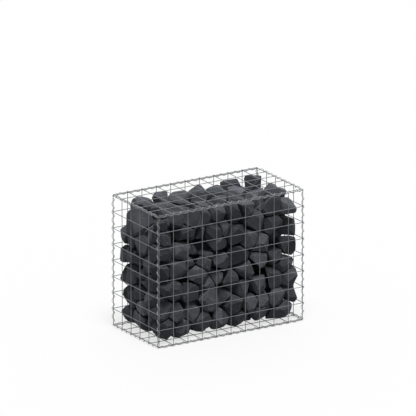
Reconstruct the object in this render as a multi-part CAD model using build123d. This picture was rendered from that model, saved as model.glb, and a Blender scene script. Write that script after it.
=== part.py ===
from build123d import *
import itertools
import math
import os

import numpy as np
from scipy.spatial import Voronoi

# A gabion: a basket of six welded wire panels, laced along its twelve edges by spiral
# binders and filled with hand-sized broken stone. Millimetres, +X along the wall, -Y the
# front face, +Z up. The origin is on the ground, under the middle of the basket.

# Basket, between the middles of its edge wires
basket_length = 1000.0
basket_depth = 500.0
basket_height = 800.0

# Welded mesh
mesh_cell = 100.0
mesh_wire = 4.0
weld_depth = 1.0
wire_overhang = 2.5
panel_offset = 5.5

# Spiral binders, as left-handed coils
spiral_wire = 3.5
turns_per_cell = 2
runs_per_turn = 5
spiral_clearance = 0.3
spiral_corner_gap = 14.0
spiral_hand = -1

# Stone fill: numbers of stones each way, and how far they lie from an even brickwork, in
# shares of one stone's room
stones_long = 8
stones_deep = 4
stone_courses_high = 7
half_bond = 0.22
cross_bond = 0.12
stone_scatter = 0.2
stone_seed = 11

# Stone corners, in millimetres
stone_gap = 0.3
stone_half_least = 15.0
corner_spacing = 36.0
inner_corner_spacing = 96.0
edge_chamfer = 16.0
stone_corners_least = 6
hidden_corners_least = 3

# How far the faces of outer stones stay inside the mesh and lean, where they don't bear on it
mesh_gap_least = 3.0
mesh_gap_most = 30.0
lid_gap_least = 8.0
lid_gap_most = 32.0
face_lean = 0.3
side_lean = 0.12

# How far the fill is rounded off along the edges of the basket
bottom_round_least = 50.0
bottom_round_most = 85.0
side_round_least = 26.0
side_round_most = 60.0
top_round_least = 12.0
top_round_most = 30.0

# Stones laid by hand along the front: place along and up the wall in shares of its sides, how
# far the face stays behind the mesh, and how much it leans back
front_stones = [
    (0.050, 0.925, 14, -0.10), (0.145, 0.945, 10, 0.30), (0.262, 0.935, 6, 0.25),
    (0.352, 0.925, 22, -0.05), (0.440, 0.930, 8, 0.05), (0.556, 0.900, 8, 0.30),
    (0.645, 0.935, 16, -0.25), (0.800, 0.915, 6, -0.15), (0.725, 0.985, 30, 0.10),
    (0.933, 0.860, 14, 0.40), (0.073, 0.815, 16, -0.10), (0.195, 0.810, 4, 0.15),
    (0.265, 0.815, 40, -0.10), (0.335, 0.800, 34, -0.20), (0.402, 0.800, 4, 0.10),
    (0.482, 0.795, 30, 0.30), (0.693, 0.815, 6, 0.20), (0.572, 0.740, 4, 0.45),
    (0.814, 0.755, 10, 0.20), (0.930, 0.710, 14, -0.25), (0.053, 0.690, 14, -0.15),
    (0.180, 0.695, 0, 0.30), (0.275, 0.660, 44, -0.20), (0.440, 0.680, 20, 0.15),
    (0.655, 0.690, 18, -0.20), (0.752, 0.625, 8, 0.05), (0.372, 0.615, 30, -0.05),
    (0.040, 0.545, 6, 0.35), (0.153, 0.550, 10, 0.10), (0.250, 0.585, 42, -0.10),
    (0.350, 0.555, 16, -0.15), (0.462, 0.560, 6, 0.20), (0.575, 0.560, 12, 0.00),
    (0.836, 0.520, 6, 0.30), (0.930, 0.570, 14, -0.25), (0.733, 0.500, 10, 0.05),
    (0.113, 0.400, 0, 0.10), (0.300, 0.480, 6, 0.45), (0.247, 0.365, 4, 0.10),
    (0.365, 0.410, 36, -0.20), (0.447, 0.450, 24, -0.05), (0.527, 0.380, 2, 0.25),
    (0.643, 0.435, 22, 0.25), (0.890, 0.435, 14, 0.25), (0.040, 0.265, 8, 0.40),
    (0.385, 0.275, 0, 0.05), (0.478, 0.275, 30, -0.15), (0.625, 0.310, 18, -0.10),
    (0.720, 0.320, 12, -0.05), (0.830, 0.340, 4, 0.20), (0.935, 0.310, 10, 0.05),
    (0.155, 0.205, 10, -0.10), (0.257, 0.195, 12, -0.05), (0.545, 0.190, 8, -0.10),
    (0.655, 0.180, 14, 0.05), (0.745, 0.185, 18, -0.15), (0.847, 0.190, 4, 0.05),
    (0.940, 0.200, 34, -0.30), (0.080, 0.095, 4, -0.05), (0.200, 0.085, 20, -0.05),
    (0.340, 0.105, 12, 0.20), (0.453, 0.090, 6, -0.05), (0.600, 0.090, 26, -0.10),
    (0.735, 0.090, 14, -0.15), (0.888, 0.085, 8, 0.05),
]

# The same along the left end, from back to front
left_stones = [
    (0.590, 0.890, 14, 0.30), (0.330, 0.815, 20, -0.15), (0.720, 0.800, 14, -0.20),
    (0.300, 0.690, 10, 0.00), (0.560, 0.690, 6, 0.10), (0.270, 0.565, 8, 0.00),
    (0.400, 0.570, 8, 0.15), (0.680, 0.580, 6, 0.10), (0.280, 0.435, 6, 0.05),
    (0.480, 0.465, 14, 0.05), (0.490, 0.395, 30, -0.25), (0.720, 0.430, 10, 0.05),
    (0.460, 0.310, 18, -0.10), (0.710, 0.310, 10, 0.00), (0.280, 0.250, 4, -0.05),
    (0.510, 0.210, 20, -0.15), (0.730, 0.190, 24, -0.20), (0.180, 0.105, 4, -0.15),
    (0.450, 0.110, 12, -0.10), (0.700, 0.110, 40, -0.20), (0.090, 0.690, 10, 0.00),
    (0.070, 0.565, 2, -0.10), (0.080, 0.400, 4, 0.05), (0.070, 0.230, 2, -0.10),
]

# Places with no stone, as shares of length, of depth from the front, and of height
hollows = [
    (0.02, 0.93, 0.99), (0.02, 0.93, 0.85), (0.965, 0.10, 0.94), (0.97, 0.95, 0.99),
    (0.64, 0.90, 1.00), (0.333, 0.04, 0.715), (0.858, 0.03, 0.645), (0.140, 0.00, 0.00),
    (0.270, 0.00, 0.01), (0.395, 0.00, 0.00), (0.525, 0.00, 0.01), (0.665, 0.00, 0.01),
    (0.810, 0.00, 0.01), (0.985, 0.00, 0.00), (0.000, 0.37, 0.02), (0.000, 0.62, 0.00),
    (0.000, 0.85, 0.00), (0.000, 1.00, 0.305),
]

# Levels and offsets that follow from the sizes above
half_length = basket_length / 2
half_depth = basket_depth / 2
half_height = basket_height / 2
layer_offset = (mesh_wire - weld_depth) / 2
outer_layer = panel_offset + layer_offset
inner_layer = panel_offset - layer_offset
bundle_radius = math.hypot(outer_layer, inner_layer) / 2 + mesh_wire / 2
coil_inner_radius = bundle_radius + spiral_clearance
coil_outer_radius = coil_inner_radius + spiral_wire
mesh_bottom = coil_outer_radius + outer_layer / 2
mesh_top = mesh_bottom + basket_height
lining = inner_layer - mesh_wire / 2 - stone_gap
fill_floor = mesh_bottom - lining
stone_rooms = (
    basket_length / stones_long,
    basket_depth / stones_deep,
    basket_height / stone_courses_high,
)

X = np.array([1.0, 0.0, 0.0])
Y = np.array([0.0, 1.0, 0.0])
Z = np.array([0.0, 0.0, 1.0])
MIDDLE = np.array([0.0, 0.0, mesh_bottom + half_height])
WALLS = (
    (0, X, half_length + lining),
    (0, -X, half_length + lining),
    (1, Y, half_depth + lining),
    (1, -Y, half_depth + lining),
    (2, Z, mesh_top + lining),
    (2, -Z, -fill_floor),
)


def cell_count(span):
    return max(1, round(span / mesh_cell))


def wire_places(span):
    """Distances of the mesh wires from the middle of a panel side."""
    cells = cell_count(span)
    return [span * (i / cells - 0.5) for i in range(cells + 1)]


def straight_wire(middle, direction, span):
    """One drawn wire as a square bar on edge, a little longer than the panel side."""
    plane = Plane(
        origin=tuple(middle - direction * (span / 2 + wire_overhang)),
        z_dir=tuple(direction),
        x_dir=tuple(Z if abs(direction @ Z) < 0.5 else X),
    )
    side = mesh_wire / math.sqrt(2)
    section = plane * Rot(0, 0, 45) * Rectangle(side, side)
    return extrude(section, amount=span + 2 * wire_overhang)


def mesh_panel(outward, half_width, outer_way, outer_span, inner_way, inner_span):
    """A welded panel: one layer of wires outside, the other way pressed into it inside."""
    bars = []
    for layer, way, span, across, across_span in (
        (outer_layer, outer_way, outer_span, inner_way, inner_span),
        (inner_layer, inner_way, inner_span, outer_way, outer_span),
    ):
        for place in wire_places(across_span):
            middle = MIDDLE + outward * (half_width + layer) + across * place
            bars.append(straight_wire(middle, way, span))
    return bars[0].fuse(*bars[1:])


def spiral_binder(edge, along, span, out, out_layer, side, side_layer):
    """A spiral round the two parallel wires of one basket edge.

    Its turns are straight runs between places spaced evenly round the coil. One run of each
    turn faces straight out of the panel across the edge, so that the binder has flats to
    stand on, and at each cross wire the coil passes outside the corner.
    """
    middle = edge + out * out_layer / 2 + side * side_layer / 2
    hand = spiral_hand * np.sign(np.cross(out, side) @ along)
    pitch = span / cell_count(span) / turns_per_cell
    step = 2 * math.pi / runs_per_turn
    corner_reach = 1 / math.cos(step / 2)
    run_lead = pitch / runs_per_turn
    start = -span / 2 - pitch * hand / 8
    first = math.ceil((spiral_corner_gap - span / 2 - start) / run_lead - 0.5)
    last = math.floor((span / 2 - spiral_corner_gap - start) / run_lead - 0.5)
    girth = 2 * math.pi * coil_inner_radius
    half_width = spiral_wire / 2 * math.hypot(pitch, girth) / girth
    rings = []
    for i in range(first, last + 1):
        turn = hand * step * (i + 0.5)
        radial = (out * math.cos(turn) + side * math.sin(turn)) * corner_reach
        centre = middle + along * (start + run_lead * (i + 0.5))
        rings.append([
            centre + radial * coil_outer_radius - along * half_width,
            centre + radial * coil_outer_radius + along * half_width,
            centre + radial * coil_inner_radius,
        ])
    return tube_of_rings(rings)


def tube_of_rings(rings):
    """A closed solid through rings of points, with flat faces."""
    count = len(rings[0])
    faces = [flat_face(rings[0]), flat_face(rings[-1])]
    for near, far in zip(rings, rings[1:]):
        faces.append(flat_face([near[0], near[1], far[1], far[0]]))
        for i in range(1, count):
            j = (i + 1) % count
            faces.append(flat_face([near[i], near[j], far[j]]))
            faces.append(flat_face([near[i], far[j], far[i]]))
    return Solid(Shell(faces))


def flat_face(points):
    return Face(Wire.make_polygon([tuple(p) for p in points], close=True))


def laid_stones(chance):
    """Middles of all stones: by hand along the front and the left, else in brickwork."""
    centres, faces = [], []
    for along, up, behind, lean in front_stones:
        centres.append(in_basket(along, (behind + stone_rooms[1] / 2) / basket_depth, up))
        faces.append((-Y, behind, lean))
    for along, up, behind, lean in left_stones:
        centres.append(in_basket((behind + stone_rooms[0] / 2) / basket_length, 1 - along, up))
        faces.append((-X, behind, lean))
    for k in range(stone_courses_high):
        for j in range(1, stones_deep):
            for i in range(1, stones_long):
                cell = np.array([i + 0.5, j + 0.5, k + 0.5])
                cell[0] += half_bond * (-1) ** (k + j)
                cell[1] += cross_bond * (-1) ** (k + i)
                cell += chance.uniform(-stone_scatter, stone_scatter, 3)
                counts = (stones_long, stones_deep, stone_courses_high)
                centres.append(in_basket(*(cell / counts)))
                faces.append(None)
    return np.array(centres), faces


def in_basket(along, inward, up):
    """A place by its shares of the basket's length, of its depth from the front, and height."""
    return np.array([
        (along - 0.5) * basket_length,
        (inward - 0.5) * basket_depth,
        mesh_bottom + up * basket_height,
    ])


def outside_partners(centres, faces, chance):
    """Places outside the fill whose mid-planes give the outer stones their outer faces.

    Stones lie flat on the base, and every third one bears flat on the mesh beside it.
    """
    partners = [in_basket(*hollow) for hollow in hollows]
    for number, (centre, laid) in enumerate(zip(centres, faces)):
        near = []
        for axis, outward, wall in WALLS:
            distance = wall - centre @ outward
            if distance > 1.6 * stone_rooms[axis]:
                continue
            behind, lean = 0.0, 0.0
            if laid is not None and laid[0] is outward:
                behind, lean = laid[1:]
            elif outward is Z:
                behind = chance.uniform(lid_gap_least, lid_gap_most)
            elif axis < 2 and distance < stone_rooms[axis] and number % 3:
                behind = chance.uniform(mesh_gap_least, mesh_gap_most)
                lean = chance.uniform(-face_lean, face_lean)
            partners.append(mirrored(centre, outward, wall - behind))
            if outward is Z or lean != 0.0:
                partners[-1] += leaning(centre, partners[-1], outward, lean, chance)
            if distance < 0.8 * stone_rooms[axis]:
                near.append((outward, wall))
        for (one, one_wall), (other, other_wall) in itertools.combinations(near, 2):
            way = (one + other) / math.sqrt(2)
            wall = (one_wall + other_wall - rounding(way, chance)) / math.sqrt(2)
            partners.append(mirrored(centre, way, wall))
    return np.array(partners)


def mirrored(centre, outward, wall):
    """The mirror image of a centre in a wall, which never cuts a stone to less than a half."""
    return centre + outward * 2 * max(wall - centre @ outward, stone_half_least)


def leaning(centre, partner, outward, lean, chance):
    """How far a partner moves along its wall for a face that leans back and sideways."""
    shift = chance.uniform(-side_lean, side_lean, 3) + lean * Z
    shift -= outward * (shift @ outward)
    return shift * math.dist(centre, partner)


def rounding(way, chance):
    """How much is rounded off along an edge of the basket."""
    if way @ Z < -0.1:
        return chance.uniform(bottom_round_least, bottom_round_most)
    if way @ Z > 0.1:
        return chance.uniform(top_round_least, top_round_most)
    return chance.uniform(side_round_least, side_round_most)


def mesh_gaps(point):
    """Distances from a point to the mesh along X, Y and Z."""
    return (
        half_length + lining - abs(point[0]),
        half_depth + lining - abs(point[1]),
        min(point[2] - fill_floor, mesh_top + lining - point[2]),
    )


def inside_mesh(point):
    """True where a stone's corner is clear of the panels and of the binders at the edges."""
    gaps = sorted(mesh_gaps(point))
    return gaps[0] > -stone_gap / 2 and gaps[0] + gaps[1] > edge_chamfer


def shared_corners(cells, centres):
    """Corners far enough apart that stones keep few of them, with open gaps between.

    Stones keep more corners on their outer faces, which show, than inside the fill. A stone
    left with too few to be a solid block gets its most separate ones back.
    """
    corners = cells.vertices
    outer = set()
    for number in range(len(centres), len(cells.points)):
        outer.update(cells.regions[cells.point_region[number]])
    crowding = [np.linalg.norm(centres - corner, axis=1).min() for corner in corners]
    kept = []
    for number in sorted(range(len(corners)), key=lambda v: (v not in outer, crowding[v])):
        if not inside_mesh(corners[number]):
            continue
        spacing = corner_spacing if number in outer else inner_corner_spacing
        if separation(corners, number, kept) > spacing:
            kept.append(number)
    for stone in range(len(centres)):
        region = cells.regions[cells.point_region[stone]]
        own = [v for v in region if v in kept]
        spare = [v for v in region if v not in kept and inside_mesh(corners[v])]
        hidden = [v for v in spare if v not in outer]
        while spare and (len(own) < stone_corners_least
                         or hidden and len(set(own) - outer) < hidden_corners_least):
            choice = hidden or spare
            number = max(choice, key=lambda v: separation(corners, v, own))
            for group in (spare, hidden, kept):
                if number in group:
                    group.remove(number)
            own.append(number)
            kept.append(number)
    return set(kept)


def separation(corners, number, others):
    """Distance from one corner to the nearest of the others."""
    return min((math.dist(corners[number], corners[v]) for v in others), default=math.inf)


def stone_courses():
    """Broken stones that meet at shared corners, listed course by course."""
    chance = np.random.default_rng(stone_seed)
    centres, faces = laid_stones(chance)
    cells = Voronoi(np.vstack([centres, outside_partners(centres, faces, chance)]))
    kept = shared_corners(cells, centres)
    pull = stone_gap / min(stone_rooms)
    courses = [[] for _ in range(stone_courses_high)]
    for number, centre in enumerate(centres):
        region = cells.regions[cells.point_region[number]]
        corners = [cells.vertices[v] for v in region if v in kept]
        points = [tuple(corner + (centre - corner) * pull) for corner in corners]
        course = int((centre[2] - mesh_bottom) / stone_rooms[2])
        courses[min(max(course, 0), stone_courses_high - 1)].append(
            ConvexPolyhedron(points).solid())
    return courses


def panels():
    made = {}
    for name, way in (("front_panel", -Y), ("back_panel", Y)):
        made[name] = mesh_panel(way, half_depth, Z, basket_height, X, basket_length)
    for name, way in (("left_panel", -X), ("right_panel", X)):
        made[name] = mesh_panel(way, half_length, Y, basket_depth, Z, basket_height)
    for name, way in (("base_panel", -Z), ("lid_panel", Z)):
        made[name] = mesh_panel(way, half_height, X, basket_length, Y, basket_depth)
    return made


def binders():
    made = {}
    for low, z_way in (("bottom", -Z), ("top", Z)):
        for face, y_way in (("front", -Y), ("back", Y)):
            edge = MIDDLE + z_way * half_height + y_way * half_depth
            made[f"{low}_{face}_spiral"] = spiral_binder(
                edge, X, basket_length, z_way, outer_layer, y_way, inner_layer)
        for face, x_way in (("left", -X), ("right", X)):
            edge = MIDDLE + z_way * half_height + x_way * half_length
            made[f"{low}_{face}_spiral"] = spiral_binder(
                edge, Y, basket_depth, z_way, inner_layer, x_way, outer_layer)
    for face, y_way in (("front", -Y), ("back", Y)):
        for end, x_way in (("left", -X), ("right", X)):
            edge = MIDDLE + y_way * half_depth + x_way * half_length
            made[f"{face}_{end}_spiral"] = spiral_binder(
                edge, Z, basket_height, y_way, outer_layer, x_way, inner_layer)
    return made


parts = {**panels(), **binders()}
for number, stones in enumerate(stone_courses(), start=1):
    parts[f"stone_course_{number}"] = Compound(children=stones)

os.makedirs("parts", exist_ok=True)
for name, shape in parts.items():
    export_step(shape, f"parts/{name}.step")
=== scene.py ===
# %% [markdown]
# # A gabion: a wire basket filled with broken stone
#
# The solid model is packed already and stays fixed. This lesson gives it its looks: round
# wires in place of square bars, true spirals, rough stones, and a studio to see them in.
# All lengths are metres, X runs along the wall, the front faces -Y, and Z is up.

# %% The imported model
import math
import random

import bmesh
import bpy
from mathutils import Matrix, Vector


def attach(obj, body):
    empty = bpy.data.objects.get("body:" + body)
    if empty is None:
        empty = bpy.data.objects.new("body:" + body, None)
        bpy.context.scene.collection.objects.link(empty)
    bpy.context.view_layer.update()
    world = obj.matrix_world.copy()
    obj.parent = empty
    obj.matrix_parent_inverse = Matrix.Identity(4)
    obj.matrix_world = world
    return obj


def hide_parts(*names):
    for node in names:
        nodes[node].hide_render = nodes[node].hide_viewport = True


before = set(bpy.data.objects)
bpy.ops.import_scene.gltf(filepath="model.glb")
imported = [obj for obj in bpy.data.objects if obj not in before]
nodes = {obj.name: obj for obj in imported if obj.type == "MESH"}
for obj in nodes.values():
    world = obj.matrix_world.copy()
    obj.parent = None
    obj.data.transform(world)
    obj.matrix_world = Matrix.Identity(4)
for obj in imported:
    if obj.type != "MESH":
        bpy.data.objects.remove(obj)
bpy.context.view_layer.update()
print("nodes:", len(nodes))

# %% Sizes of the basket, as in the solid model
MM = 0.001
LENGTH, DEPTH, HEIGHT = 1.0, 0.5, 0.8
CELL = 0.1
WIRE = 4.0 * MM
OVERHANG = 2.5 * MM
BINDER_WIRE = 3.5 * MM
BINDER_CLEARANCE = 0.3 * MM
BINDER_END = 14.0 * MM
PITCH = 0.05

# The two layers of wire in a panel lie this far outside the box of these sizes
OUTER_LAYER = 7.0 * MM
INNER_LAYER = 4.0 * MM

# A binder's coil passes round two edge wires, and the bottom binders stand on the ground
EDGE_WIRES_APART = math.hypot(OUTER_LAYER, INNER_LAYER)
COIL_RADIUS = EDGE_WIRES_APART / 2 + WIRE / 2 + BINDER_CLEARANCE + BINDER_WIRE / 2
BASE_LEVEL = COIL_RADIUS + BINDER_WIRE / 2 + OUTER_LAYER / 2
MIDDLE = Vector((0, 0, BASE_LEVEL + HEIGHT / 2))
X, Y, Z = Vector((1, 0, 0)), Vector((0, 1, 0)), Vector((0, 0, 1))
print("coil radius", round(COIL_RADIUS / MM, 2), "mm")
print("lowest mesh plane at", round(BASE_LEVEL / MM, 2), "mm")

# %% [markdown]
# ## Camera
#
# The picture has no vanishing lines: edges that are parallel on the basket stay parallel.
# An orthographic camera would draw that too, but a very long lens from far away looks the
# same and is still a true lens. The camera looks a little above the basket, which therefore
# stands low in the square frame.

# %% A long lens from the front left
AZIMUTH = math.radians(-32.0)
ELEVATION = math.radians(17.7)
FRAME_WIDTH = 2.4615
LENS = 1000.0
SENSOR = 36.0
AIM_ABOVE = 0.2917

towards_camera = Vector((
    math.sin(AZIMUTH) * math.cos(ELEVATION),
    -math.cos(AZIMUTH) * math.cos(ELEVATION),
    math.sin(ELEVATION),
))
turn = towards_camera.to_track_quat("Z", "Y")
aim = MIDDLE + turn @ Vector((0, AIM_ABOVE, 0))

camera_data = bpy.data.cameras.new("camera")
camera_data.lens = LENS
camera_data.sensor_width = SENSOR
camera_data.clip_start = 1.0
camera_data.clip_end = 300.0
camera = bpy.data.objects.new("camera", camera_data)
camera.location = aim + towards_camera * FRAME_WIDTH * LENS / SENSOR
camera.rotation_euler = turn.to_euler()
bpy.context.scene.collection.objects.link(camera)
bpy.context.scene.camera = camera
bpy.context.scene.view_settings.view_transform = "Standard"
print("camera", round(camera.location.length, 1), "m away")

# %% [markdown]
# ## Helpers for materials
#
# Every finish here is a few noises that change the colour, the roughness and the height of
# the surface. Pictures would need all the stones and wires unwrapped, and noise doesn't.
# Small helpers keep the node trees readable: one adds a node, two read a pattern from
# Object coordinates, and the others turn a pattern into a number, a colour or relief.

# %% Nodes and patterns
def new_material(name):
    """An empty material with a Principled shader, and its nodes and links."""
    material = bpy.data.materials.new(name)
    material.use_nodes = True
    tree = material.node_tree
    shader = tree.nodes["Principled BSDF"]
    return material, tree, shader


def add(tree, kind, **settings):
    """A node of one kind. Settings named like an input set that input, others the node."""
    node = tree.nodes.new(kind)
    for name, value in settings.items():
        label = name.replace("_", " ").title()
        if label in node.inputs:
            node.inputs[label].default_value = value
        else:
            setattr(node, name, value)
    return node


def noise(tree, scale, detail, roughness=0.55):
    """Fractal noise over the piece's own place, scale in lumps per metre."""
    place = add(tree, "ShaderNodeTexCoord")
    lumps = add(tree, "ShaderNodeTexNoise", scale=scale, detail=detail, roughness=roughness)
    tree.links.new(place.outputs["Object"], lumps.inputs["Vector"])
    return lumps.outputs["Fac"]


def grains(tree, scale, reading):
    """Cells like crystals, scale in cells per metre, read as Color or as Distance."""
    place = add(tree, "ShaderNodeTexCoord")
    cells = add(tree, "ShaderNodeTexVoronoi", scale=scale)
    tree.links.new(place.outputs["Object"], cells.inputs["Vector"])
    return cells.outputs[reading]


# %% Numbers, colours and relief
def remap(tree, number, from_range, to_range):
    """A number from one range spread over another."""
    spread = add(tree, "ShaderNodeMapRange")
    for label, value in zip(("From Min", "From Max", "To Min", "To Max"), (*from_range, *to_range)):
        spread.inputs[label].default_value = value
    tree.links.new(number, spread.inputs["Value"])
    return spread.outputs["Result"]


def product(tree, first, second):
    """Two numbers multiplied."""
    times = add(tree, "ShaderNodeMath", operation="MULTIPLY")
    tree.links.new(first, times.inputs[0])
    tree.links.new(second, times.inputs[1])
    return times.outputs["Value"]


def larger(tree, first, second):
    """The larger of two numbers."""
    most = add(tree, "ShaderNodeMath", operation="MAXIMUM")
    tree.links.new(first, most.inputs[0])
    tree.links.new(second, most.inputs[1])
    return most.outputs["Value"]


def blend(tree, share, first, second):
    """A colour between two, by a share from 0 to 1. Each is a socket or three numbers."""
    mix = add(tree, "ShaderNodeMix", data_type="RGBA")
    tree.links.new(share, mix.inputs[0])
    for value, colour in ((first, mix.inputs[6]), (second, mix.inputs[7])):
        if isinstance(value, bpy.types.NodeSocket):
            tree.links.new(value, colour)
        else:
            colour.default_value = (*value, 1)
    return mix.outputs[2]


def shaded(tree, colour, brightness):
    """A colour made darker or lighter by a number."""
    scaled = add(tree, "ShaderNodeVectorMath", operation="SCALE")
    tree.links.new(colour, scaled.inputs[0])
    tree.links.new(brightness, scaled.inputs["Scale"])
    return scaled.outputs["Vector"]


def bump(tree, height, distance, strength, under=None):
    """Relief of one height, laid over another relief where there is one."""
    relief = add(tree, "ShaderNodeBump", distance=distance, strength=strength)
    tree.links.new(height, relief.inputs["Height"])
    if under is not None:
        tree.links.new(under, relief.inputs["Normal"])
    return relief.outputs["Normal"]


# %% [markdown]
# ## Galvanised wire
#
# The wire is steel dipped in zinc: mid grey and half matt, with a faint pattern of
# crystals and dull patches where the zinc has weathered. Weathered zinc scatters more light
# than it mirrors, so the shader is only a quarter metallic, with crystals from a cell
# texture and broad noise. The binders are newer, brighter wire, so the same recipe is
# called twice with other colours.

# %% Zinc finish
MESH_BRIGHT, MESH_DULL = (0.27, 0.283, 0.302), (0.205, 0.215, 0.232)
BINDER_BRIGHT, BINDER_DULL = (0.45, 0.464, 0.485), (0.31, 0.32, 0.336)
MESH_ROUGHNESS = (0.42, 0.58)
BINDER_ROUGHNESS = (0.32, 0.46)
ZINC_METALLIC = 0.25
ZINC_SPECULAR = 0.25
SCRATCH_HEIGHT = 0.2 * MM


def galvanised(name, bright, dull, roughness):
    """Zinc-coated steel between a bright and a dull grey, and between two roughnesses."""
    material, tree, shader = new_material(name)
    weather = noise(tree, scale=14.0, detail=3.0)
    crystals = grains(tree, 420.0, "Color")
    scratches = noise(tree, scale=900.0, detail=2.0)
    patches = remap(tree, weather, (0.35, 0.65), (0.0, 1.0))
    sparkle = remap(tree, crystals, (0.0, 1.0), (0.86, 1.1))
    zinc = shaded(tree, blend(tree, patches, bright, dull), sparkle)
    tree.links.new(zinc, shader.inputs["Base Color"])
    tree.links.new(remap(tree, weather, (0.3, 0.7), roughness), shader.inputs["Roughness"])
    tree.links.new(bump(tree, scratches, SCRATCH_HEIGHT, 0.5), shader.inputs["Normal"])
    shader.inputs["Metallic"].default_value = ZINC_METALLIC
    shader.inputs["Specular IOR Level"].default_value = ZINC_SPECULAR
    return material


mesh_zinc = galvanised("mesh_zinc", MESH_BRIGHT, MESH_DULL, MESH_ROUGHNESS)
binder_zinc = galvanised("binder_zinc", BINDER_BRIGHT, BINDER_DULL, BINDER_ROUGHNESS)
print("materials:", mesh_zinc.name, binder_zinc.name)

# %% [markdown]
# ## Welded mesh panels
#
# Each side of the basket is a flat grid of straight drawn wires, one way laid on the other
# and pressed together by spot welding, which leaves a small collar at every crossing. Here
# one wire is a ring that is extruded along its line and swollen for the collars. A grid
# of plain cylinders would be quicker, but its crossings would look like a drawing.

# %% One round wire
WIRE_SIDES = 10
COLLAR_LENGTH = 7.0 * MM
COLLAR_SWELL = 1.17
COLLAR_PROFILE = ((-0.5, 1.0), (-0.2, COLLAR_SWELL), (0.2, COLLAR_SWELL), (0.5, 1.0))
SHORTEST_STEP = 0.1 * MM


def ring_at(bm, middle, way, radius, sides):
    """The edges of a new circle across a way."""
    square_on = Matrix.Translation(middle) @ way.to_track_quat("Z", "Y").to_matrix().to_4x4()
    made = bmesh.ops.create_circle(bm, segments=sides, radius=radius, matrix=square_on)
    return list(dict.fromkeys(edge for vertex in made["verts"] for edge in vertex.link_edges))


def next_ring(bm, edges, middle, step, swell):
    """The ring extruded a step further, and made wider or narrower."""
    made = bmesh.ops.extrude_edge_only(bm, edges=edges)["geom"]
    corners = [item for item in made if isinstance(item, bmesh.types.BMVert)]
    bmesh.ops.translate(bm, vec=step, verts=corners)
    bmesh.ops.scale(bm, vec=(swell, swell, swell), space=Matrix.Translation(-middle), verts=corners)
    on_ring = set(corners)
    return [item for item in made if isinstance(item, bmesh.types.BMEdge)
            and item.verts[0] in on_ring and item.verts[1] in on_ring]


def drawn_wire(bm, middle, way, span, crossings):
    """A straight round wire with a collar at each crossing."""
    end = span / 2 + OVERHANG
    stations = [(-end, 1.0)]
    for place in crossings:
        for offset, swell in COLLAR_PROFILE:
            station = place + offset * COLLAR_LENGTH
            if abs(station) < end - SHORTEST_STEP:
                stations.append((station, swell))
    stations.append((end, 1.0))
    edges = ring_at(bm, middle - way * end, way, WIRE / 2, WIRE_SIDES)
    for (here, size), (there, next_size) in zip(stations, stations[1:]):
        edges = next_ring(bm, edges, middle + way * there, way * (there - here), next_size / size)


# %% Six panels
def places(span):
    """Where the mesh wires lie along a side, from its middle."""
    cells = round(span / CELL)
    return [span * (i / cells - 0.5) for i in range(cells + 1)]


def finish_piece(bm, name, material, replaced):
    """A mesh object from a bmesh, smooth, closed, riding on the body and replacing nodes."""
    open_edges = [edge for edge in bm.edges if edge.is_boundary]
    bmesh.ops.holes_fill(bm, edges=open_edges)
    bmesh.ops.recalc_face_normals(bm, faces=bm.faces)
    for face in bm.faces:
        face.smooth = True
    mesh = bpy.data.meshes.new(name)
    bm.to_mesh(mesh)
    bm.free()
    mesh.materials.append(material)
    piece = bpy.data.objects.new(name, mesh)
    bpy.context.scene.collection.objects.link(piece)
    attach(piece, "root")
    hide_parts(*replaced)
    print(name, "has", len(mesh.polygons), "faces")
    return piece


def welded_panel(name, outward, half_width, outer_way, outer_span, inner_way, inner_span):
    """A grid of wires, the outer layer one way and the inner layer the other."""
    bm = bmesh.new()
    for layer, way, span, across, across_span in (
        (OUTER_LAYER, outer_way, outer_span, inner_way, inner_span),
        (INNER_LAYER, inner_way, inner_span, outer_way, outer_span),
    ):
        for place in places(across_span):
            middle = MIDDLE + outward * (half_width + layer) + across * place
            drawn_wire(bm, middle, way, span, places(span))
    finish_piece(bm, f"{name}_mesh", mesh_zinc, [f"{name}_panel"])


welded_panel("front", -Y, DEPTH / 2, Z, HEIGHT, X, LENGTH)
welded_panel("back", Y, DEPTH / 2, Z, HEIGHT, X, LENGTH)
welded_panel("left", -X, LENGTH / 2, Y, DEPTH, Z, HEIGHT)
welded_panel("right", X, LENGTH / 2, Y, DEPTH, Z, HEIGHT)
welded_panel("base", -Z, HEIGHT / 2, X, LENGTH, Y, DEPTH)
welded_panel("lid", Z, HEIGHT / 2, X, LENGTH, Y, DEPTH)

# %% [markdown]
# ## Spiral binders
#
# The panels are laced together by spirals that are screwed along each edge round both
# edge wires, two turns to a mesh cell. A spiral is one small circle, tilted to the lead of
# the thread, and spun about the edge while it moves along it. A curve with a bevel would
# also do, but spin gives exact turns that pass every cross wire at the same angle. The
# first turn is set an eighth of a turn on, which puts the spiral outside the corner
# wherever a cross wire ends there, so that the two never meet.

# %% Twelve spirals
BINDER_SIDES = 8
STEPS_PER_TURN = 14
FIRST_TURN_SHARE = 1 / 8
LEFT_HANDED = -1
LEAD_ANGLE = math.atan(PITCH / (2 * math.pi * COIL_RADIUS))


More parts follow.
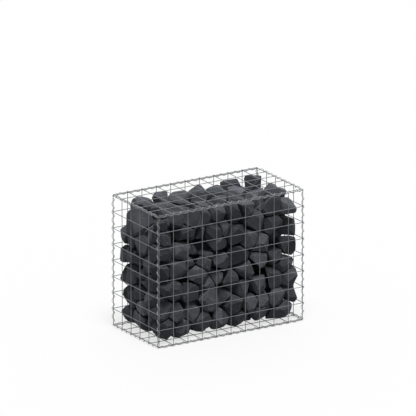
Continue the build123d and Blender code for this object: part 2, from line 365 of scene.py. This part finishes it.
def spiral(name, edge, along, span, out, out_layer, side, side_layer):
    """A left-handed coil round the two edge wires of two panels."""
    axis_point = edge + out * out_layer / 2 + side * side_layer / 2
    hand = LEFT_HANDED * math.copysign(1, out.cross(side).dot(along))
    start = -span / 2 + BINDER_END
    length = span - 2 * BINDER_END
    run_in = start + span / 2 + PITCH * hand * FIRST_TURN_SHARE
    first_angle = hand * 2 * math.pi * run_in / PITCH
    radial = out * math.cos(first_angle) + side * math.sin(first_angle)
    around = LEFT_HANDED * along.cross(radial)
    thread = along * math.sin(LEAD_ANGLE) + around * math.cos(LEAD_ANGLE)
    wire_end = axis_point + along * start + radial * COIL_RADIUS
    bm = bmesh.new()
    edges = ring_at(bm, wire_end, thread, BINDER_WIRE / 2, BINDER_SIDES)
    steps = round(length / PITCH * STEPS_PER_TURN)
    bmesh.ops.spin(
        bm, geom=edges, cent=axis_point, axis=along, dvec=along * length / steps,
        angle=LEFT_HANDED * 2 * math.pi * length / PITCH, steps=steps, use_duplicate=False,
    )
    finish_piece(bm, f"{name}_coil", binder_zinc, [f"{name}_spiral"])


for low, z_way in (("bottom", -Z), ("top", Z)):
    for face, y_way in (("front", -Y), ("back", Y)):
        edge = MIDDLE + z_way * HEIGHT / 2 + y_way * DEPTH / 2
        spiral(f"{low}_{face}", edge, X, LENGTH, z_way, OUTER_LAYER, y_way, INNER_LAYER)
    for face, x_way in (("left", -X), ("right", X)):
        edge = MIDDLE + z_way * HEIGHT / 2 + x_way * LENGTH / 2
        spiral(f"{low}_{face}", edge, Y, DEPTH, z_way, INNER_LAYER, x_way, OUTER_LAYER)
for face, y_way in (("front", -Y), ("back", Y)):
    for end, x_way in (("left", -X), ("right", X)):
        edge = MIDDLE + y_way * DEPTH / 2 + x_way * LENGTH / 2
        spiral(f"{face}_{end}", edge, Z, HEIGHT, y_way, OUTER_LAYER, x_way, INNER_LAYER)

# %% [markdown]
# ## Stone finish
#
# The fill is a dark, fine-grained broken rock. Its colour changes a little from stone to
# stone and in cloudy patches within one, and each face has its own brightness, partly a
# random tone and partly painted sheen. The bevelled edges are painted paler, partly as wear
# and partly as a painted edge highlight, and the faces are rough like sandpaper. One noise
# over the whole fill would run on from stone to stone, so the tone and painted sheen of each
# face and its share of wear and painted highlight are stored on the faces as attributes, and
# noise only adds the clouds and the grain.

# %% Dark broken rock
ROCK_DARK, ROCK_PALE = (0.074, 0.079, 0.089), (0.109, 0.116, 0.131)
WORN_AND_HIGHLIGHT_ROCK = (0.24, 0.245, 0.255)
WORN_AND_HIGHLIGHT_SHARE = (0.05, 0.42)
ROCK_ROUGHNESS = (0.72, 0.95)
ROCK_SPECULAR = 0.15
CHIP_HEIGHT, GRIT_HEIGHT = 4.0 * MM, 1.8 * MM


def attribute_value(tree, name):
    """A number stored on the piece's faces."""
    return add(tree, "ShaderNodeAttribute", attribute_name=name).outputs["Fac"]


def broken_rock(name):
    """Dark rock: cloudy tones, painted sheen, grit, pale edges of wear and painted highlight."""
    material, tree, shader = new_material(name)
    clouds = noise(tree, scale=11.0, detail=6.0, roughness=0.6)
    grit = noise(tree, scale=140.0, detail=6.0, roughness=0.72)
    crystals = grains(tree, 330.0, "Distance")
    chips = noise(tree, scale=45.0, detail=5.0, roughness=0.6)
    rock = blend(tree, remap(tree, clouds, (0.3, 0.7), (0.0, 1.0)), ROCK_DARK, ROCK_PALE)
    speckle = remap(tree, grit, (0.3, 0.7), (0.7, 1.3))
    glint = remap(tree, crystals, (0.0, 0.6), (1.12, 0.9))
    # The stored face tone is partly random tone and partly painted sheen between facets
    shade = product(tree, product(tree, speckle, glint), attribute_value(tree, "stone_tone_and_sheen"))
    # Pale bevels in noisy patches: partly wear, partly a painted edge highlight
    patchy = remap(tree, chips, (0.42, 0.6), WORN_AND_HIGHLIGHT_SHARE)
    wear_and_highlight = product(tree, attribute_value(tree, "wear_and_highlight_edge"), patchy)
    colour = blend(tree, wear_and_highlight, shaded(tree, rock, shade), WORN_AND_HIGHLIGHT_ROCK)
    uneven = bump(tree, chips, CHIP_HEIGHT, 0.6)
    rough = bump(tree, grit, GRIT_HEIGHT, 0.8, uneven)
    tree.links.new(colour, shader.inputs["Base Color"])
    tree.links.new(remap(tree, grit, (0.3, 0.7), ROCK_ROUGHNESS), shader.inputs["Roughness"])
    tree.links.new(rough, shader.inputs["Normal"])
    shader.inputs["Specular IOR Level"].default_value = ROCK_SPECULAR
    return material


rock_finish = broken_rock("dark_broken_rock")
print("material:", rock_finish.name)

# %% [markdown]
# ## The stones
#
# Quarried stone breaks along flat faces. Each stone here is cut from its own solid: the
# hull of the solid's corners is split by a plane a little inside each face, which leaves
# open joints between the stones. A face that looks out through the mesh gets a few
# slanting blows round its rim, and the outer corners are chipped. Then the edges are
# bevelled. A stone that only ever loses rock stays clear of its neighbours and of the mesh,
# which scaled or displaced balls could not promise.

# %% Corners of the solid stones
COURSES = sorted(name for name in nodes if name.startswith("stone_course_"))
SAME_POINT = 0.05 * MM
ORDER_DIGITS = 5


def islands(bm):
    """The vertices of each separate stone of a course."""
    left = set(bm.verts)
    while left:
        grown = [left.pop()]
        for vertex in grown:
            for edge in vertex.link_edges:
                other = edge.other_vert(vertex)
                if other in left:
                    left.remove(other)
                    grown.append(other)
        yield grown


def in_order(point):
    """A key that sorts points the same way in every run."""
    return tuple(round(value, ORDER_DIGITS) for value in point)


def solid_stones(node):
    """The corners of every stone in a course, from a merged copy of its mesh."""
    bm = bmesh.new()
    bm.from_mesh(node.data)
    bmesh.ops.remove_doubles(bm, verts=bm.verts, dist=SAME_POINT)
    stones = [sorted((vertex.co.copy() for vertex in group), key=in_order) for group in islands(bm)]
    bm.free()
    return sorted(stones, key=lambda corners: in_order(sum(corners, Vector())))


course_stones = {name: solid_stones(nodes[name]) for name in COURSES}
print("stones:", sum(len(stones) for stones in course_stones.values()))

# %% Splitting along planes
ON_PLANE = 1e-7
chance = random.Random(7)


def split(bm, point, outward):
    """Cuts away what lies outward of a plane, and closes the cut."""
    everything = bm.verts[:] + bm.edges[:] + bm.faces[:]
    made = bmesh.ops.bisect_plane(
        bm, geom=everything, dist=ON_PLANE, plane_co=point, plane_no=outward, clear_outer=True)
    rim = [item for item in made["geom_cut"] if isinstance(item, bmesh.types.BMEdge) and item.is_boundary]
    if rim:
        bmesh.ops.edgeloop_fill(bm, edges=rim)


def tilted(way, amount):
    """A direction near another one."""
    lean = Vector([chance.uniform(-amount, amount) for _ in range(3)])
    return (way + lean).normalized()


# %% Facets on the faces that show
FACING = 0.6
SHOWN_DEPTH = 60.0 * MM
FACET_LEAST, FACET_MOST = 2, 4
FACET_SPREAD = 0.3
FACET_DEPTH = 15.0 * MM
SLOPE_LEAST, SLOPE_MOST = 0.35, 1.0
REACH_LEAST, REACH_MOST = 0.1, 0.7


def shown(point, outward):
    """True for a face of a stone that looks out through the mesh."""
    for axis, half in ((X, LENGTH / 2), (Y, DEPTH / 2), (Z, HEIGHT / 2)):
        way = math.copysign(1, outward.dot(axis)) * axis
        if outward.dot(way) > FACING and half - (point - MIDDLE).dot(way) < SHOWN_DEPTH:
            return True
    return False


def facets(bm, point, outward, rim):
    """Blows that break the rim of a shown face into a few slanting facets."""
    across = outward.orthogonal().normalized()
    up = outward.cross(across)
    count = chance.randint(FACET_LEAST, FACET_MOST)
    first = chance.uniform(0, 2 * math.pi)
    for blow in range(count):
        angle = first + 2 * math.pi * (blow + chance.uniform(-FACET_SPREAD, FACET_SPREAD)) / count
        way = across * math.cos(angle) + up * math.sin(angle)
        reach = max((corner - point).dot(way) for corner in rim)
        slope = chance.uniform(SLOPE_LEAST, SLOPE_MOST)
        share = max(chance.uniform(REACH_LEAST, REACH_MOST), 1 - FACET_DEPTH / (slope * reach))
        split(bm, point + way * reach * share, (outward + way * slope).normalized())


# %% Faces of a stone
FLAT_ANGLE = math.radians(6)


def hull_sides(bm, corners):
    """The hull of a stone's corners, and the middle, direction and corners of each face."""
    for corner in corners:
        bm.verts.new(corner)
    bmesh.ops.convex_hull(bm, input=bm.verts)
    bmesh.ops.dissolve_limit(bm, angle_limit=FLAT_ANGLE, verts=bm.verts, edges=bm.edges)
    bmesh.ops.recalc_face_normals(bm, faces=bm.faces)
    sides = [
        (face.calc_center_median(), face.normal.copy(), [vertex.co.copy() for vertex in face.verts])
        for face in bm.faces
    ]
    return sorted(sides, key=lambda side: in_order(side[0]))


# %% Chipped corners
CHIPS_LEAST, CHIPS_MOST = 2, 4
CHIP_LEAST, CHIP_MOST = 4.0 * MM, 10.0 * MM
CHIP_SPREAD = 0.9
CHIP_LEAN = 0.3


def chip_corners(bm, middle, outward):
    """Blows that knock a few of the outer corners off."""
    for _ in range(chance.randint(CHIPS_LEAST, CHIPS_MOST)):
        blow = tilted(outward, CHIP_SPREAD)
        corner = max((vertex.co for vertex in bm.verts), key=blow.dot)
        way = corner - middle
        kept_share = 1 - chance.uniform(CHIP_LEAST, CHIP_MOST) / way.length
        split(bm, middle + way * kept_share, tilted(way.normalized(), CHIP_LEAN))


# %% One stone
FACE_LEAST, FACE_MOST = 1.0 * MM, 3.5 * MM
FACE_LEAN = 0.03
JOINT_LEAST, JOINT_MOST = 2.0 * MM, 6.0 * MM
HIDDEN_JOINT = 0.3 * MM
BACKWARDS = -0.5
SHORTEST_EDGE = 3.0 * MM


def stone(corners):
    """One broken stone inside the faces of its solid, with its own facets and chipped corners."""
    bm = bmesh.new()
    sides = hull_sides(bm, corners)
    fronts = [outward for point, outward, rim in sides if shown(point, outward)]
    for point, outward, rim in sides:
        faces_out = shown(point, outward)
        if faces_out:
            spare = chance.uniform(FACE_LEAST, FACE_MOST)
        elif fronts and outward.dot(fronts[0]) > BACKWARDS:
            spare = chance.uniform(JOINT_LEAST, JOINT_MOST)
        else:
            spare = HIDDEN_JOINT
        split(bm, point - outward * spare, tilted(outward, FACE_LEAN))
        if faces_out:
            facets(bm, point - outward * FACE_MOST, outward, rim)
    if fronts:
        chip_corners(bm, sum(corners, Vector()) / len(corners), fronts[0])
    bmesh.ops.remove_doubles(bm, verts=bm.verts, dist=SHORTEST_EDGE)
    return bm


# %% [markdown]
# ## Worn edges with painted highlights, and courses
#
# Stones that were tipped into a basket have worn against each other, so no edge stays
# sharp. A Bevel modifier would round them all alike and mark none of them. The bevel
# operator gives each stone its own width, and hands back the new faces, which are marked
# to be painted paler, partly as wear and partly as a painted edge highlight. Each face also
# gets a random tone that partly stands in for painted sheen. Weighted normals then keep the
# broken faces flat between soft edges.

# %% Bevelled edges, tones and one piece a course
BEVEL_LEAST, BEVEL_MOST = 1.5 * MM, 4.0 * MM
TONE_LEAST, TONE_MOST = 0.6, 1.3
# How much each face's tone varies: partly random tone, partly painted sheen
FACE_TONE_AND_SHEEN = 0.2
tone_and_sheen_chance = random.Random(3)


def round_and_mark_edges(bm):
    """Rounds the edges and marks them for wear and painted highlight; face tones add painted sheen."""
    tone_and_sheen_layer = bm.faces.layers.float.new("stone_tone_and_sheen")
    wear_and_highlight_layer = bm.faces.layers.float.new("wear_and_highlight_edge")
    made = bmesh.ops.bevel(
        bm, geom=bm.edges[:], offset=chance.uniform(BEVEL_LEAST, BEVEL_MOST), affect="EDGES",
        segments=2, profile=0.5, material=-1, clamp_overlap=True)
    tone = chance.uniform(TONE_LEAST, TONE_MOST)
    # Each face's tone varies at random, partly as painted sheen between facets
    for face in bm.faces:
        face[tone_and_sheen_layer] = tone * tone_and_sheen_chance.uniform(1 - FACE_TONE_AND_SHEEN, 1 + FACE_TONE_AND_SHEEN)
    # The bevel faces are marked for wear and a painted edge highlight
    for face in made["faces"]:
        face[tone_and_sheen_layer] = tone
        face[wear_and_highlight_layer] = 1.0


def stone_course(name, stones):
    """All stones of a course as one piece."""
    course = bmesh.new()
    course.faces.layers.float.new("stone_tone_and_sheen")
    course.faces.layers.float.new("wear_and_highlight_edge")
    for corners in stones:
        block = stone(corners)
        round_and_mark_edges(block)
        mesh = bpy.data.meshes.new("one_stone")
        block.to_mesh(mesh)
        block.free()
        course.from_mesh(mesh)
        bpy.data.meshes.remove(mesh)
    piece = finish_piece(course, f"{name}_stones", rock_finish, [name])
    shading = piece.modifiers.new("flat_faces", "WEIGHTED_NORMAL")
    shading.weight = 100
    shading.keep_sharp = True


for name, stones in course_stones.items():
    stone_course(name, stones)

# %% [markdown]
# ## Studio
#
# The picture shows the basket on plain white, lit softly and mostly from above: the tops
# of the stones are twice as bright as their fronts. A wide overhead sun over a dim even
# sky gives that, and a faint sun from behind keeps the back from going black. Lamps near
# the basket would do too, but their light would fall off along it. The floor and sky are
# white only where the camera sees them, directly or in the metal, so they don't light the
# stones from below, and the floor keeps a shadow.

# %% Sky
SKY_LIGHT = 0.34
SKY_SEEN = 1.0
sky = bpy.data.worlds.new("sky")
sky.use_nodes = True
bpy.context.scene.world = sky
sky_tree = sky.node_tree
background = sky_tree.nodes["Background"]
background.inputs["Color"].default_value = (1, 1, 1, 1)


def seen_share(tree):
    """1 for rays that show a thing, straight or mirrored, and 0 for rays that light with it."""
    rays = add(tree, "ShaderNodeLightPath").outputs
    mirrored = larger(tree, rays["Is Glossy Ray"], rays["Is Transmission Ray"])
    return larger(tree, rays["Is Camera Ray"], mirrored)


sky_strength = remap(sky_tree, seen_share(sky_tree), (0.0, 1.0), (SKY_LIGHT, SKY_SEEN))
sky_tree.links.new(sky_strength, background.inputs["Strength"])
print("sky lights with", SKY_LIGHT, "and is seen at", SKY_SEEN)

# %% Suns
def add_sun(name, energy, softness, source):
    """A distant light from one direction, its softness in degrees."""
    data = bpy.data.lights.new(name, "SUN")
    data.energy = energy
    data.angle = math.radians(softness)
    sun = bpy.data.objects.new(name, data)
    sun.rotation_euler = Vector(source).to_track_quat("Z", "Y").to_euler()
    bpy.context.scene.collection.objects.link(sun)
    print(name, "sun of", energy, "from", source)


add_sun("overhead", energy=2.35, softness=24, source=(-0.13, -0.32, 1.0))
add_sun("behind", energy=0.6, softness=60, source=(0.6, 0.8, 0.3))

# %% Floor
FLOOR_RADIUS = 30.0
FLOOR_SIDES = 64
FLOOR_WHITE = (0.9, 0.9, 0.9, 1)
FLOOR_AS_LIGHT = (0.2, 0.2, 0.2, 1)
FLOOR_GLOW = 0.7
bm = bmesh.new()
bmesh.ops.create_circle(bm, cap_ends=True, segments=FLOOR_SIDES, radius=FLOOR_RADIUS)
floor_mesh = bpy.data.meshes.new("floor")
bm.to_mesh(floor_mesh)
bm.free()
floor = bpy.data.objects.new("floor", floor_mesh)
bpy.context.scene.collection.objects.link(floor)

# Seen, the floor is a mix of glow and lit paint, so that it is white and keeps a shadow
floor_finish, tree, shader = new_material("pale_floor")
tree.nodes.remove(shader)
lit = add(tree, "ShaderNodeBsdfDiffuse", color=FLOOR_WHITE)
glow = add(tree, "ShaderNodeEmission")
as_seen = add(tree, "ShaderNodeMixShader")
as_seen.inputs["Fac"].default_value = FLOOR_GLOW
tree.links.new(lit.outputs["BSDF"], as_seen.inputs[1])
tree.links.new(glow.outputs["Emission"], as_seen.inputs[2])
as_light = add(tree, "ShaderNodeBsdfDiffuse", color=FLOOR_AS_LIGHT)
choice = add(tree, "ShaderNodeMixShader")
tree.links.new(seen_share(tree), choice.inputs["Fac"])
tree.links.new(as_light.outputs["BSDF"], choice.inputs[1])
tree.links.new(as_seen.outputs["Shader"], choice.inputs[2])
tree.links.new(choice.outputs["Shader"], tree.nodes["Material Output"].inputs["Surface"])
floor_mesh.materials.append(floor_finish)
print("floor of", FLOOR_RADIUS, "m radius with", floor_finish.name)
